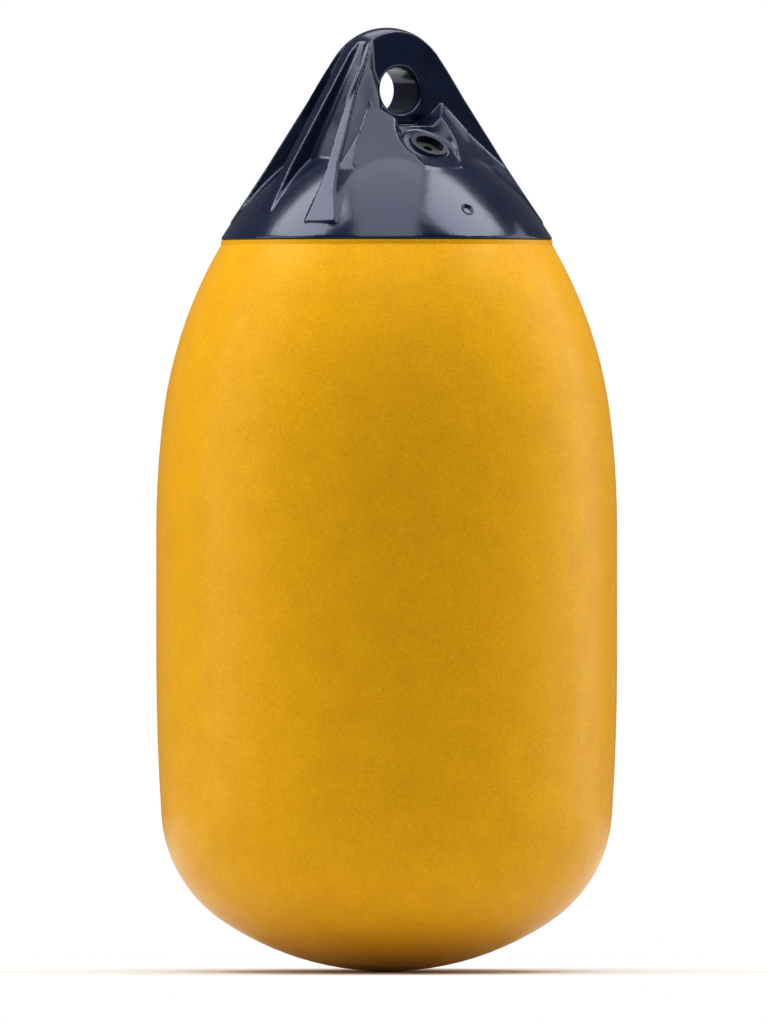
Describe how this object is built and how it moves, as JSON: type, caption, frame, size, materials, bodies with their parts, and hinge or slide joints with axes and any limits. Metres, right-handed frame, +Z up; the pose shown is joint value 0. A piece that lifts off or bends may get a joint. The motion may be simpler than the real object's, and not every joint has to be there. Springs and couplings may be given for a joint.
{
  "type": "low drag buoy",
  "caption": "Blown vinyl buoy with a slim rounded hull, a ribbed moulded rope hold with a round eye, and a screw air valve.",
  "frame": {"origin": "On the buoy's axis, at its waterline in still water with no load on the eye.", "axes": "+Z up along the buoy's axis, from the hull to the rope hold. The rope eye runs along Y, and the air valve faces -Y."},
  "size_m": [0.3, 0.3, 0.6143],
  "materials": {
    "hull_vinyl": "satin",
    "hold_vinyl": "satin",
    "seat_plastic": "satin",
    "screw_plastic": "satin",
    "ring_rubber": "matte"
  },
  "bodies": {
    "float": {"hull": "hull_vinyl", "rope_hold": "hold_vinyl", "valve_seat": "seat_plastic"},
    "plug": {"valve_screw": "screw_plastic", "sealing_ring": "ring_rubber"}
  },
  "joints": [
    {"name": "valve_lift", "type": "slide", "parent": "float", "child": "plug", "axis": [0, -0.558, 0.8299], "range_m": [0, 0.008]}
  ]
}
